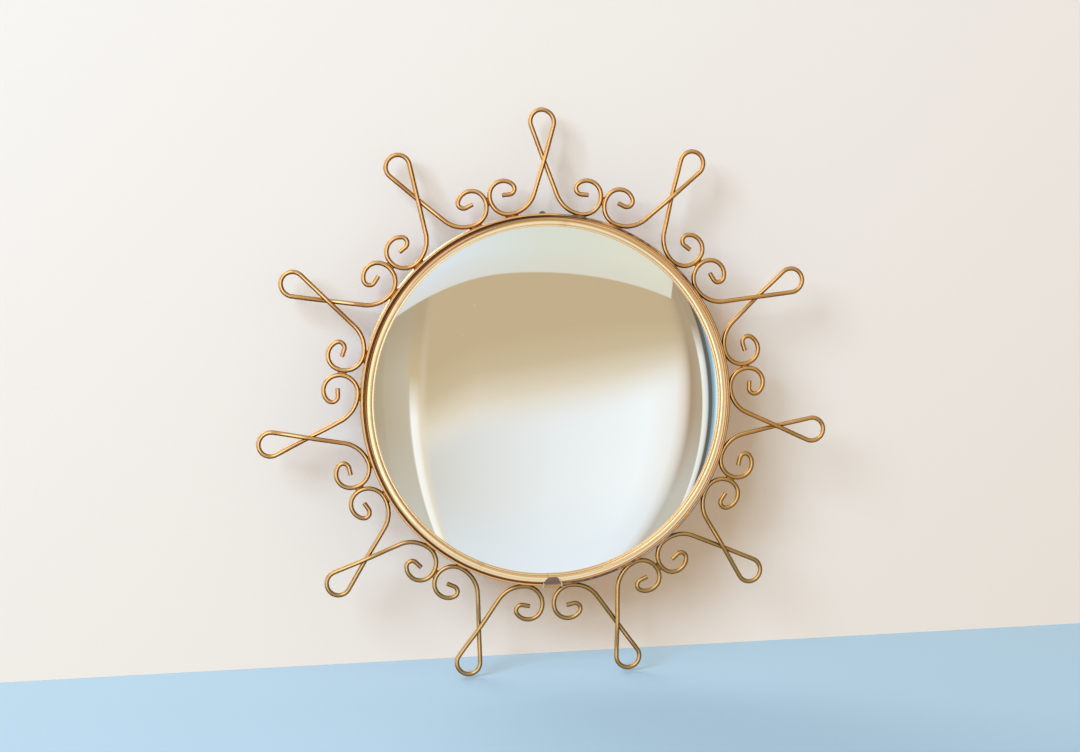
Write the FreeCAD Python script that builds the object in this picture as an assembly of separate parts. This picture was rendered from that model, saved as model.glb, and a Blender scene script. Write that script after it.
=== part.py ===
"""Sunburst mirror: a convex glass in a rolled moulding, ringed by eleven bent-wire rays.

X is to the right, Z is up and the front faces -Y. The ring's axis is the Y axis. The plane y = 0 is
the wall, which the hoop's back edge rests on. Lengths are in millimetres and angles in degrees.
Angles round the ring run clockwise from the top, as seen from the front.
"""
import FreeCAD, Part
import math
import os

Vector = FreeCAD.Vector

# Moulding: a fine bead at the glass, a round crest, a skirt, and a flange that fits the hoop
lip_radius = 126.0
bead_radius = 0.6
inner_wall_height = 0.9
inner_round = 1.9
outer_round = 3.1
moulding_sheet = 0.8
seam_gap = 0.2
seam_offset = -1.35

# Hoop: a flat strip on edge, behind a narrow groove round the moulding
groove_width = 1.2
hoop_thickness = 1.6
hoop_depth = 13.4
hoop_chamfer = 0.4

# Clip folded over the moulding's seam
clip_width = 13.7
clip_sheet = 0.8
clip_leg = 4.0
clip_offset = 2.3
clip_setback = 1.2
clip_hook_turn = 30.0

# Glass
glass_curve_radius = 270.0
glass_thickness = 3.0
glass_edge_room = 0.9

# Rays: one wire each, as centreline radii and turns
ray_count = 11
bottom_opening = 34.5
wire_diameter = 3.2
ray_reach = 75.4
loop_radius = 8.6
foot_bend_radius = 22.0
sweep_radius = 13.4
sweep_turn = 106.0
scroll_radius = 10.3
scroll_turn = 124.0
hook_radius = 4.15
hook_turn = 135.0
tail_length = 5.4
crossing_span_share = 0.9
crossing_gap = 0.2
foot_gap = 0.15
scroll_gap = 0.2

# Brazed joints
web_radius = 9.0
web_height = 1.6
web_width = 2.4
fillet_radius = 0.45
fillet_length = 5.0

# Back: packing, board and the tabs that hold it
recess_depth = 4.2
board_thickness = 2.4
board_edge_room = 0.2
packing_thickness = 1.2
packing_width = 4.5
tab_count = 8
tab_sheet = 0.6
tab_turn = 3.6
tab_overlap = 6.0
tab_setback = 0.8

# Hanger: strap with an eye, two rivets and a D-shaped wire ring
hanger_offset = -2.0
strap_width = 5.0
strap_sheet = 0.9
tongue_show = 1.7
eye_drop = 21.0
ring_wire_diameter = 1.8
ring_width = 14.0
ring_height = 13.5
ring_corner = 2.5
ring_split = 0.3
rivet_radius = 1.2
rivet_head_radius = 1.7
rivet_head_height = 0.7
rivet_rise = 4.6
rivet_pitch = 4.6

# Fits
seat_clearance = 0.05
slot_clearance = 0.15
eye_clearance = 0.08
cut_overrun = 2.0

# Radii that follow, from the lip outwards
wire_radius = wire_diameter / 2
crest_radius = lip_radius + 2 * bead_radius + inner_round
bezel_radius = crest_radius + outer_round
skirt_radius = bezel_radius - moulding_sheet
hoop_inner = bezel_radius + groove_width
hoop_outer = hoop_inner + hoop_thickness
foot_circle = hoop_outer + foot_gap + wire_radius
loop_tip = hoop_outer + ray_reach - wire_radius
glass_radius = skirt_radius - glass_edge_room
board_radius = skirt_radius - board_edge_room

# Depths that follow, from the wall forwards
board_back = -recess_depth
board_front = board_back - board_thickness
packing_front = board_front - packing_thickness
glass_back_curve = glass_curve_radius - glass_thickness
glass_centre = packing_front - seat_clearance + math.sqrt(glass_back_curve ** 2 - glass_radius ** 2)
lip_back = glass_centre - math.sqrt(glass_curve_radius ** 2 - lip_radius ** 2) - seat_clearance
lip_front = lip_back - moulding_sheet
crest_depth = lip_front - inner_wall_height - inner_round
shoulder_depth = crest_depth + outer_round
flange_back = board_back - seat_clearance
flange_front = flange_back - moulding_sheet
ray_plane = -hoop_depth / 2

# Places round the ring that follow
ray_pitch = (360 - bottom_opening) / (ray_count - 1)
half_pitch = ray_pitch / 2
sweep_centre_radius = foot_circle + sweep_radius
sweep_reach = sweep_radius + wire_radius + scroll_gap / 2
foot_angle = half_pitch - math.degrees(math.asin(sweep_reach / sweep_centre_radius))
first_ray = -ray_pitch * (ray_count - 1) / 2

# Places of the hanger that follow
strap_back = board_back + strap_sheet
ring_wire_radius = ring_wire_diameter / 2
eye_bore = ring_wire_radius + eye_clearance
eye_radius = eye_bore + strap_sheet
eye_depth = board_back + eye_radius
eye_height = hoop_inner - eye_drop
tongue_tip = hoop_outer + tongue_show

axis_y = Vector(0, 1, 0)
origin = Vector(0, 0, 0)


def save(node, shapes):
    """Write one node, checking that every piece of it is one sound solid."""
    pieces = shapes if isinstance(shapes, list) else [shapes]
    for piece in pieces:
        if len(piece.Solids) != 1 or not piece.isValid():
            raise ValueError(node + " holds a piece that isn't one valid solid")
    solids = [piece.Solids[0] for piece in pieces]
    result = solids[0] if len(solids) == 1 else Part.makeCompound(solids)
    result.exportStep("parts/" + node + ".step")


def turned_about_ring(shape, angle):
    """A copy of shape, turned clockwise round the ring's axis."""
    copy = shape.copy()
    copy.rotate(origin, axis_y, angle)
    return copy


def edges_of(segments):
    """Edges for a chain of segments: two points are a line and three are an arc."""
    edges = []
    for points in segments:
        curve = Part.LineSegment(*points) if len(points) == 2 else Part.Arc(*points)
        edges.append(curve.toShape())
    return edges


def outline(points):
    """Straight segments that close a ring of points."""
    return list(zip(points, points[1:] + points[:1]))


def face_of(segments):
    return Part.Face(Part.Wire(edges_of(segments)))


def section_point(radius, depth):
    """A point of a turned section, drawn on the ring's right-hand side."""
    return Vector(radius, depth, 0)


def arc_at(centre, radius, start, turn):
    """An arc in the ray's plane from the angle start through turn, anticlockwise from +X."""
    points = []
    for angle in (start, start + turn / 2, start + turn):
        ray = math.radians(angle)
        points.append(centre + Vector(radius * math.cos(ray), 0, radius * math.sin(ray)))
    return tuple(points)


def section_arc(centre_radius, centre_depth, radius, start, turn):
    """An arc of a turned section, from the angle start through turn, anticlockwise from outwards."""
    points = []
    for angle in (start, start + turn / 2, start + turn):
        ray = math.radians(angle)
        reach = section_point(radius * math.cos(ray), radius * math.sin(ray))
        points.append(section_point(centre_radius, centre_depth) + reach)
    return tuple(points)


def block(x_range, y_range, z_range):
    """A box between two limits on each axis."""
    corner = Vector(x_range[0], y_range[0], z_range[0])
    size = Vector(x_range[1], y_range[1], z_range[1]) - corner
    return Part.makeBox(size.x, size.y, size.z, corner)


def swept(segments, radius):
    """A round wire along a chain of tangent lines and arcs."""
    edges = edges_of(segments)
    first = edges[0]
    heading = first.tangentAt(first.FirstParameter)
    profile = Part.Wire(Part.Circle(segments[0][0], heading, radius).toShape())
    return Part.Wire(edges).makePipeShell([profile], True, False)


def make_mirror_glass():
    """Convex glass of even thickness, with a square ground edge."""
    front_tilt = math.degrees(math.asin(glass_radius / glass_curve_radius))
    back_tilt = math.degrees(math.asin(glass_radius / glass_back_curve))
    front = section_arc(0, glass_centre, glass_curve_radius, -90, front_tilt)
    back = section_arc(0, glass_centre, glass_back_curve, back_tilt - 90, -back_tilt)
    edge = (front[2], back[0])
    middle = (back[2], front[0])
    return face_of([front, edge, back, middle]).revolve(origin, axis_y, 360)


def make_bezel_ring():
    """Moulding rolled from sheet, cut across where its two ends butt."""
    inner_crest = crest_depth + inner_round
    dome_foot = crest_radius - inner_round
    bead_centre = lip_radius + bead_radius
    flange_rim = hoop_inner - seat_clearance
    bead = section_arc(bead_centre, lip_front, bead_radius, -180, 180)
    rise = section_arc(crest_radius, inner_crest, inner_round, -180, 90)
    fall = section_arc(crest_radius, shoulder_depth, outer_round, -90, 90)
    under_fall = section_arc(crest_radius, shoulder_depth, outer_round - moulding_sheet, 0, -90)
    under_rise = section_arc(crest_radius, inner_crest, inner_round - moulding_sheet, -90, -90)
    wall = (section_point(dome_foot, lip_front), section_point(dome_foot, inner_crest))
    skirt_and_flange = [
        section_point(bezel_radius, shoulder_depth),
        section_point(bezel_radius, flange_front),
        section_point(flange_rim, flange_front),
        section_point(flange_rim, flange_back),
        section_point(skirt_radius, flange_back),
        section_point(skirt_radius, shoulder_depth),
    ]
    lip = [
        section_point(dome_foot + moulding_sheet, inner_crest),
        section_point(dome_foot + moulding_sheet, lip_back),
        section_point(lip_radius, lip_back),
        section_point(lip_radius, lip_front),
    ]
    front = [bead, wall, rise, fall]
    back = list(zip(skirt_and_flange, skirt_and_flange[1:])) + [under_fall, under_rise]
    ring = face_of(front + back + list(zip(lip, lip[1:]))).revolve(origin, axis_y, 360)
    seam_range = (seam_offset - seam_gap / 2, seam_offset + seam_gap / 2)
    seam = block(seam_range, (crest_depth - cut_overrun, 0), (-hoop_inner, -lip_radius + cut_overrun))
    return ring.cut(seam)


def make_ray_hoop():
    """Strip hoop with eased front edges and a slot at the top for the hanger's tongue."""
    front = -hoop_depth
    section = [
        section_point(hoop_inner, 0),
        section_point(hoop_outer, 0),
        section_point(hoop_outer, front + hoop_chamfer),
        section_point(hoop_outer - hoop_chamfer, front),
        section_point(hoop_inner + hoop_chamfer, front),
        section_point(hoop_inner, front + hoop_chamfer),
    ]
    hoop = face_of(outline(section)).revolve(origin, axis_y, 360)
    reach = strap_width / 2 + slot_clearance
    slot = block(
        (hanger_offset - reach, hanger_offset + reach),
        (board_back - slot_clearance, strap_back + slot_clearance),
        (hoop_inner - cut_overrun, hoop_outer + cut_overrun),
    )
    return hoop.cut(slot)


def make_seam_clip():
    """Half-round clip: a leaf from the moulding's crest to the hoop, and a leg down the hoop's wall."""
    corner_radius = hoop_outer + seat_clearance
    corner_depth = -hoop_depth - seat_clearance
    away_radius = corner_radius - crest_radius
    away_depth = corner_depth - shoulder_depth
    crest_clear = outer_round + seat_clearance
    to_corner = math.atan2(away_depth, away_radius)
    touch = to_corner - math.acos(crest_clear / math.hypot(away_radius, away_depth))
    normal = Vector(math.cos(touch), math.sin(touch), 0)
    inner_end = section_point(crest_radius, shoulder_depth) + normal * crest_clear
    corner = section_point(corner_radius, corner_depth)
    leg_end = section_point(corner_radius, corner_depth + clip_leg)
    over = normal * clip_sheet
    out = Vector(clip_sheet, 0, 0)
    bend_radius = corner_radius + clip_sheet
    bend_depth = (corner + over).y - (bend_radius - (corner + over).x) * normal.x / normal.y
    bend = section_point(bend_radius, bend_depth)
    hug = 90 + math.degrees(touch)
    hook_start = -90 - clip_hook_turn
    hook_depth = crest_depth + inner_round
    hook_clear = inner_round + seat_clearance
    under_hook = section_arc(crest_radius, hook_depth, hook_clear, hook_start, clip_hook_turn)
    under_crest = section_arc(crest_radius, shoulder_depth, crest_clear, -90, hug)
    fold = [inner_end, corner, leg_end, leg_end + out, bend, inner_end + over]
    on_crest = section_arc(crest_radius, shoulder_depth, crest_clear + clip_sheet, hug - 90, -hug)
    on_hook = section_arc(crest_radius, hook_depth, hook_clear + clip_sheet, -90, -clip_hook_turn)
    end = (on_hook[2], under_hook[0])
    segments = [under_hook, under_crest] + list(zip(fold, fold[1:])) + [on_crest, on_hook, end]
    span = 2 * math.degrees(math.asin(clip_width / hoop_outer))
    strip = face_of(segments).revolve(origin, axis_y, span)
    strip.rotate(origin, axis_y, 90 - span / 2)
    disc_base = Vector(0, crest_depth - cut_overrun, clip_setback - bend_radius)
    disc = Part.makeCylinder(clip_width / 2, hoop_depth + cut_overrun, disc_base, axis_y)
    return turned_about_ring(strip.common(disc), -math.degrees(math.asin(clip_offset / hoop_outer)))


def ray_half():
    """Half of a ray's centreline, from the top of the loop to the cut end of the right-hand scroll."""
    tilt = math.radians(foot_angle)
    outward = Vector(math.sin(tilt), 0, math.cos(tilt))
    foot = outward * foot_circle
    bend_centre = foot + outward * foot_bend_radius
    loop_centre = Vector(0, 0, loop_tip - loop_radius)
    between = loop_centre - bend_centre
    taper = math.asin((foot_bend_radius - loop_radius) / between.Length)
    lean = math.atan2(-between.x, between.z) - taper
    lean_angle = math.degrees(lean)
    loop = arc_at(loop_centre, loop_radius, 90, 90 + lean_angle)
    foot_bend = arc_at(bend_centre, foot_bend_radius, 180 + lean_angle, 90 - lean_angle - foot_angle)
    arm = crossing_arm(loop[2], foot_bend[0])

    sweep_centre = foot + outward * sweep_radius
    sweep_start = 270 - foot_angle
    sweep = arc_at(sweep_centre, sweep_radius, sweep_start, sweep_turn)
    to_scroll = (sweep[2] - sweep_centre).normalize()
    scroll_centre = sweep_centre + to_scroll * (sweep_radius - scroll_radius)
    scroll = arc_at(scroll_centre, scroll_radius, sweep_start + sweep_turn, scroll_turn)
    to_hook = (scroll[2] - scroll_centre).normalize()
    hook_centre = scroll_centre + to_hook * (scroll_radius - hook_radius)
    hook_start = sweep_start + sweep_turn + scroll_turn
    hook = arc_at(hook_centre, hook_radius, hook_start, hook_turn)
    inward = (hook[2] - hook_centre).normalize()
    tail = (hook[2], hook[2] + Vector(-inward.z, 0, inward.x) * tail_length)
    return [loop] + arm + [foot_bend, sweep, scroll, hook, tail]


def crossing_arm(high, low):
    """A straight arm that bows back by half a wire where it passes behind its twin."""
    down = (low - high).normalize()
    to_crossing = high.x / (high.x - low.x) * (low - high).Length
    span = crossing_span_share * min(to_crossing, (low - high).Length - to_crossing)
    bow = (wire_diameter + crossing_gap) / 2
    bow_radius = (span ** 2 + bow ** 2) / (4 * bow)
    half_turn = math.asin(span / 2 / bow_radius) / 2
    ease_run = bow_radius * math.sin(half_turn)
    ease_rise = bow_radius * (1 - math.cos(half_turn))

    def place(run, rise):
        return high + down * (to_crossing + run) + axis_y * rise

    start = place(-span, 0)
    leave = place(-span / 2, bow / 2)
    arrive = place(span / 2, bow / 2)
    end = place(span, 0)
    into = (start, place(-span + ease_run, ease_rise), leave)
    over = (leave, place(0, bow), arrive)
    out_of = (arrive, place(span - ease_run, ease_rise), end)
    return [(high, start), into, over, out_of, (end, low)]


def make_ray():
    """The ray at the top of the ring, as one wire."""
    half = ray_half()
    twin = []
    for points in reversed(half):
        twin.append(tuple(Vector(-point.x, -point.y, point.z) for point in reversed(points)))
    ray = swept(twin + half, wire_radius)
    ray.translate(axis_y * ray_plane)
    return ray


def make_foot_webs(ray):
    """Brazed webs under the two feet of the top ray."""
    hoop_body = Part.makeCylinder(hoop_outer, hoop_depth, Vector(0, -hoop_depth, 0), axis_y)
    base = Vector(0, ray_plane - web_width / 2, hoop_outer + web_height - web_radius)
    puddle = Part.makeCylinder(web_radius, web_width, base, axis_y).cut(hoop_body)
    return [turned_about_ring(puddle, side * foot_angle).cut(ray) for side in (-1, 1)]


def make_scroll_fillets():
    """Brazed fillets before and behind the place where the top ray's right scroll meets its neighbour's."""
    half_way = sweep_centre_radius * math.cos(math.radians(half_pitch - foot_angle))
    to_wire = fillet_radius + seat_clearance + wire_radius
    sink = math.sqrt(to_wire ** 2 - (wire_radius + scroll_gap / 2) ** 2)
    fillets = []
    for side in (-1, 1):
        base = Vector(0, ray_plane + side * sink, half_way - fillet_length / 2)
        fillet = Part.makeCylinder(fillet_radius, fillet_length, base, Vector(0, 0, 1))
        fillets.append(turned_about_ring(fillet, half_pitch))
    return fillets


def make_packing_ring():
    base = Vector(0, packing_front, 0)
    outside = Part.makeCylinder(board_radius, packing_thickness, base, axis_y)
    inside = Part.makeCylinder(board_radius - packing_width, packing_thickness, base, axis_y)
    return outside.cut(inside)


def rivet_places():
    """Heights of the two rivets, above the strap's eye."""
    return [eye_height + rivet_rise + rivet_pitch * step for step in range(2)]


def rivet_holes():
    holes = []
    for height in rivet_places():
        base = Vector(hanger_offset, board_front - cut_overrun, height)
        length = board_thickness + strap_sheet + 2 * cut_overrun
        holes.append(Part.makeCylinder(rivet_radius + seat_clearance, length, base, axis_y))
    return Part.makeCompound(holes)


def make_backing_board():
    disc = Part.makeCylinder(board_radius, board_thickness, Vector(0, board_front, 0), axis_y)
    return disc.cut(rivet_holes())


def make_retaining_tab():
    """A bent tab at the top: its foot lies on the board and its leg stands against the hoop's wall."""
    wall = hoop_inner - seat_clearance
    foot_back = board_back + tab_sheet
    section = [
        section_point(board_radius - tab_overlap, board_back),
        section_point(wall, board_back),
        section_point(wall, -tab_setback),
        section_point(wall - tab_sheet, -tab_setback),
        section_point(wall - tab_sheet, foot_back),
        section_point(board_radius - tab_overlap, foot_back),
    ]
    tab = face_of(outline(section)).revolve(origin, axis_y, tab_turn)
    tab.rotate(origin, axis_y, -90 - tab_turn / 2)
    return tab


def make_hanger_strap():
    """Strap with a round-ended tongue at its top and a rolled eye at its foot."""
    half_width = strap_width / 2
    sides = (hanger_offset - half_width, hanger_offset + half_width)
    leaf = block(sides, (board_back, strap_back), (eye_height, tongue_tip - half_width))
    tip_base = Vector(hanger_offset, board_back, tongue_tip - half_width)
    tip = Part.makeCylinder(half_width, strap_sheet, tip_base, axis_y)
    eye_base = Vector(sides[0], eye_depth, eye_height)
    eye = Part.makeCylinder(eye_radius, strap_width, eye_base, Vector(1, 0, 0))
    bore_base = Vector(sides[0] - cut_overrun, eye_depth, eye_height)
    bore = Part.makeCylinder(eye_bore, strap_width + 2 * cut_overrun, bore_base, Vector(1, 0, 0))
    strap = leaf.fuse([tip, eye]).cut(bore).cut(rivet_holes())
    return strap.removeSplitter()


def make_rivet(height):
    """A rivet: a flat head in front of the board, a shank and a domed head behind the strap."""
    front_head = board_front - rivet_head_height
    dome_curve = (rivet_head_radius ** 2 + rivet_head_height ** 2) / (2 * rivet_head_height)
    dome_centre = strap_back + rivet_head_height - dome_curve
    dome_tilt = math.degrees(math.asin(rivet_head_radius / dome_curve))
    dome = section_arc(0, dome_centre, dome_curve, 90 - dome_tilt, dome_tilt)
    points = [
        section_point(0, front_head),
        section_point(rivet_head_radius, front_head),
        section_point(rivet_head_radius, board_front),
        section_point(rivet_radius, board_front),
        section_point(rivet_radius, strap_back),
        dome[0],
    ]
    middle = (dome[2], points[0])
    rivet = face_of(list(zip(points, points[1:])) + [dome, middle]).revolve(origin, axis_y, 360)
    rivet.translate(Vector(hanger_offset, 0, height))
    return rivet


def make_hanger_ring():
    """D-shaped wire ring, hanging from its straight bar, whose ends butt inside the eye."""
    def place(across, drop):
        return Vector(hanger_offset + across, eye_depth, eye_height - drop)

    side = ring_width / 2
    leg_end = ring_height - side
    bow_centre = place(0, leg_end)
    corner_centre = place(side - ring_corner, ring_corner)
    right = [
        (place(ring_split / 2, 0), place(side - ring_corner, 0)),
        arc_at(corner_centre, ring_corner, 90, -90),
        (place(side, ring_corner), place(side, leg_end)),
        arc_at(bow_centre, side, 0, -90),
    ]
    left = []
    for points in reversed(right):
        flipped = [Vector(2 * hanger_offset - point.x, point.y, point.z) for point in reversed(points)]
        left.append(tuple(flipped))
    return swept(right + left, ring_wire_radius)


os.makedirs("parts", exist_ok=True)
save("mirror_glass", make_mirror_glass())
save("bezel_ring", make_bezel_ring())
save("ray_hoop", make_ray_hoop())
save("seam_clip", make_seam_clip())

top_ray = make_ray()
foot_webs = make_foot_webs(top_ray)
scroll_fillets = make_scroll_fillets()
ray_angles = [first_ray + ray_pitch * index for index in range(ray_count)]
for number, angle in enumerate(ray_angles, start=1):
    save("ray_wire_%02d" % number, turned_about_ring(top_ray, angle))
save("foot_braze_joints", [turned_about_ring(web, angle) for angle in ray_angles for web in foot_webs])
scroll_joints = [turned_about_ring(fillet, angle) for angle in ray_angles[:-1] for fillet in scroll_fillets]
save("scroll_braze_joints", scroll_joints)

save("packing_ring", make_packing_ring())
save("backing_board", make_backing_board())
tab_step = 360 / tab_count
tab_angles = [tab_step / 2 + tab_step * index for index in range(tab_count)]
save("retaining_tabs", [turned_about_ring(make_retaining_tab(), angle) for angle in tab_angles])
save("hanger_strap", make_hanger_strap())
save("hanger_rivets", [make_rivet(height) for height in rivet_places()])
save("hanger_ring", make_hanger_ring())
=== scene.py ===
"""Sunburst mirror: a convex glass in a rolled moulding, ringed by eleven bent-wire rays.

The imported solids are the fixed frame, in metres: X is to the right, Z is up and the front faces -Y.
Angles round the ring run clockwise from the top, as seen from the front.
"""
import math
from functools import partial

import bpy
from bpy.props import FloatProperty, FloatVectorProperty, PointerProperty
from mathutils import Matrix, Vector, noise


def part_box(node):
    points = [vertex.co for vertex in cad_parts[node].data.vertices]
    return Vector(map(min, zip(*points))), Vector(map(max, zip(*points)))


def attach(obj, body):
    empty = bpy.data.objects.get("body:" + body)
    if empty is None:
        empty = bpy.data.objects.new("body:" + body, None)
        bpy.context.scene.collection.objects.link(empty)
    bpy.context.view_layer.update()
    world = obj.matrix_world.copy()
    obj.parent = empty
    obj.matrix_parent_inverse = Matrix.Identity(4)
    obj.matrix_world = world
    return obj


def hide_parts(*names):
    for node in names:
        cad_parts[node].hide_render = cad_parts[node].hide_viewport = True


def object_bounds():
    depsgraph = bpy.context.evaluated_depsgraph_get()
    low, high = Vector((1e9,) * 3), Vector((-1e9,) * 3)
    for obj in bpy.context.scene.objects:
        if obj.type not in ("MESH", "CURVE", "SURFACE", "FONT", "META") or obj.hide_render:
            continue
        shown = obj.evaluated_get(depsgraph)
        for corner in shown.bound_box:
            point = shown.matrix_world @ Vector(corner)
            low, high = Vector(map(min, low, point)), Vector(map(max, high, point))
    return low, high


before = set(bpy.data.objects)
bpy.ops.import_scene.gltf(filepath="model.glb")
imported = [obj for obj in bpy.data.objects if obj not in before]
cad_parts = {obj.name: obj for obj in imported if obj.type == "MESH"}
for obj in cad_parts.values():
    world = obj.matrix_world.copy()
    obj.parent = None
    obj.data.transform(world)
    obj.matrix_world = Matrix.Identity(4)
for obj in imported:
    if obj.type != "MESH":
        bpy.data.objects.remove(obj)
cad_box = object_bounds()

bl_info = {
    "name": "Sunburst mirror",
    "version": (1, 0, 0),
    "blender": (4, 5, 0),
    "location": "View3D > Sidebar > Sunburst",
    "description": "Dresses the packed sunburst mirror and sets its stage",
    "category": "Object",
}

MM = 0.001
BODY = "mirror_body"
BEHIND = Vector((0, 1, 0))
# Clearance between pieces that rest on each other
SEAT = 0.05 * MM
QUARTER_TURN = math.pi / 2
NOISE_SEED = 11


def linear(hex_colour):
    """Linear RGB of an sRGB hex colour."""
    channels = []
    for start in (1, 3, 5):
        value = int(hex_colour[start:start + 2], 16) / 255
        channels.append(value / 12.92 if value <= 0.04045 else ((value + 0.055) / 1.055) ** 2.4)
    return tuple(channels)


def as_colour(tone):
    """Linear RGB of a hex colour, of a grey level or of a colour that is linear already."""
    if isinstance(tone, str):
        return linear(tone)
    if isinstance(tone, (int, float)):
        return (tone, tone, tone)
    return tuple(tone)


def length(name, millimetres, description):
    """A length that a user may change, given in millimetres."""
    return FloatProperty(name=name, description=description, default=millimetres * MM, unit="LENGTH")


def angle(name, degrees, description):
    """An angle that a user may change, given in degrees."""
    return FloatProperty(name=name, description=description, default=math.radians(degrees), subtype="ANGLE")


def tint(name, hex_colour, description):
    """A colour that a user may change, given as sRGB hex."""
    return FloatVectorProperty(
        name=name, description=description, default=linear(hex_colour), subtype="COLOR", min=0.0, max=1.0
    )


class RingSizes(bpy.types.PropertyGroup):
    """Sizes of the moulding, the glass and the clip."""
    lip_radius: length("Lip", 126.0, "Radius of the moulding's inner edge, where the glass starts to show")
    bead_radius: length("Bead", 0.6, "Radius of the fine bead at the glass")
    bead_rise: length("Bead rise", 0.15, "Height of the bead's centre over the glass")
    front_flatness: FloatProperty(
        name="Front flatness", description="Share of the moulding's rise that is left when pressed flat",
        default=0.45, min=0.0, max=1.0, subtype="FACTOR",
    )
    inner_wall: length("Inner wall", 0.9, "Height of the straight wall behind the bead")
    inner_round: length("Inner round", 1.9, "Radius of the crest's side towards the glass")
    outer_round: length("Outer round", 3.1, "Radius of the crest's outer side")
    groove: length("Groove", 1.2, "Gap between the moulding and the hoop")
    groove_depth: length("Groove depth", 0.9, "How far the groove's floor is behind the hoop's front")
    sheet: length("Sheet", 0.8, "Thickness of the rolled sheet")
    seam_gap: length("Seam", 0.2, "Gap between the moulding's two ends")
    seam_offset: length("Seam offset", -1.35, "How far the seam is to the right of the lowest point")
    glass_curve: length("Glass curve", 270.0, "Radius of the glass's front surface")
    glass_thickness: length("Glass thickness", 3.0, "Thickness of the glass")
    clip_width: length("Clip", 13.7, "Width of the half-round clip over the seam")
    clip_leg: length("Clip leg", 4.0, "How far the clip reaches down the hoop's wall")
    clip_offset: length("Clip offset", 2.3, "How far the clip is to the right of the lowest point")
    clip_setback: length("Clip setback", 1.2, "How far the half round's centre is inside the fold")
    clip_hook: angle("Clip hook", 22.0, "How far the clip hooks over the crest towards the glass")


class RaySizes(bpy.types.PropertyGroup):
    """Sizes of the bent-wire rays."""
    wire: length("Wire", 3.2, "Diameter of the wire")
    reach: length("Reach", 75.4, "From the hoop to the end of a loop")
    loop: length("Loop", 8.6, "Radius of the loop at a ray's tip")
    foot_bend: length("Foot bend", 22.0, "Radius of the bend from an arm to its foot")
    foot_gap: length("Foot gap", 0.15, "Space between the hoop and a foot")
    sweep: length("Sweep", 13.4, "Radius of the first part of a scroll")
    sweep_turn: angle("Sweep turn", 106.0, "Turn of the first part of a scroll")
    scroll: length("Scroll", 10.3, "Radius of the middle part of a scroll")
    scroll_turn: angle("Scroll turn", 124.0, "Turn of the middle part of a scroll")
    hook: length("Hook", 4.15, "Radius of a scroll's inner hook")
    hook_turn: angle("Hook turn", 135.0, "Turn of a scroll's inner hook")
    tail: length("Tail", 5.4, "Straight end of the wire inside a scroll")
    crossing_gap: length("Crossing gap", 0.2, "Space between a ray's arms where they cross")
    scroll_gap: length("Scroll gap", 0.2, "Space between neighbouring scrolls")
    bottom_opening: angle("Bottom opening", 34.5, "Angle between the two lowest rays")
    unevenness: length("Unevenness", 0.35, "How far the hand-bent wire strays from its line")


class Finishes(bpy.types.PropertyGroup):
    """Colours of the finishes and of the stage."""
    # Also the colour of the painted highlight line and of the upper left side painted lighter
    wire_gold: tint("Wire gold", "#f5c98c", "Gilding rubbed bright on the front of the wire")
    # Its dark brown is partly painted shade, on the flanks turned from the light
    wire_flank: tint("Wire flank", "#88520e", "Gilding on the flanks of the wire")
    wire_brown: tint("Wire brown", "#c08850", "Gilding that has aged brown")
    # Painted shade: the wire darkens to this amber towards the right, away from the light
    wire_amber_shade: tint("Wire amber", "#b48028", "Gilding that has browned on the right")
    # Olive tone that the wire takes on towards the bottom
    wire_olive: tint("Wire olive", "#88784f", "Dulled gilding on the lowest rays")
    moulding_gold: tint("Moulding gold", "#f5ca94", "Lacquered brass of the moulding")
    # Also the colour of painted highlights on the bead, crest and slope
    moulding_highlight: tint("Moulding bright", "#ffeecb", "Brass rubbed bright on the crest")
    # Also the colour of painted shade lines on the right
    moulding_worn_and_shade: tint("Moulding worn", "#c28f5a", "Brass where the lacquer is gone")
    # Partly grime and partly painted shade in the groove on the left
    groove_dark: tint("Groove dark", "#44303a", "Grime in the groove on the left")
    # Painted shade on the slope, groove and bead, where they turn from the light
    moulding_painted_shade: tint("Moulding dark", "#8f6238", "Brown lacquer on the slope, groove and bead")
    hoop_gold: tint("Hoop gold", "#eac28c", "Gilding on the hoop")
    # Also painted shade on the hoop's walls and its right edge
    hoop_grime_and_shade: tint("Hoop dark", "#4e3d3a", "Grime and oxide on the hoop")
    hoop_steel: tint("Hoop steel", "#b9bcc4", "Bare steel where the gilding has worn off")
    clip_brown: tint("Clip brown", "#8f7872", "Oxidised clip")
    clip_dark: tint("Clip dark", "#6d5a58", "Darker oxide on the clip")
    clip_gold: tint("Clip gold", "#c9a468", "Gilding left on the clip's fold")
    solder: tint("Solder", "#f2f0ec", "Tin solder along the clip's edges")
    braze: tint("Braze", "#cf9f58", "Brass filler at the joints")
    flux: tint("Flux", "#9a6a34", "Brown flux stain on the filler")
    silver: tint("Silver", "#f6f8f8", "Silvering behind the glass")
    dust: tint("Dust", "#f4efe6", "Dust specks on the glass")
    back_paint: tint("Back paint", "#6b5a4c", "Paint over the silvering")
    felt: tint("Felt", "#77726a", "Packing ring behind the glass")
    board: tint("Hardboard", "#8a6442", "Hardboard back")
    board_fibre: tint("Board fibre", "#5e4029", "Dark fibres in the hardboard")
    steel: tint("Steel", "#7b766f", "Dark steel of the tabs and the hanger")
    rust: tint("Rust", "#6a3f24", "Rust in the steel's pits")
    rivet: tint("Aluminium", "#c6c7c9", "Rivets")
    floor: tint("Floor", "#b4d6ee", "Matt floor")
    wall: tint("Wall", "#f5efe7", "Matt backdrop")


def colours():
    return bpy.context.scene.sunburst_finishes


def ring_sizes():
    return bpy.context.scene.sunburst_ring


def ray_sizes():
    return bpy.context.scene.sunburst_rays


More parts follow.
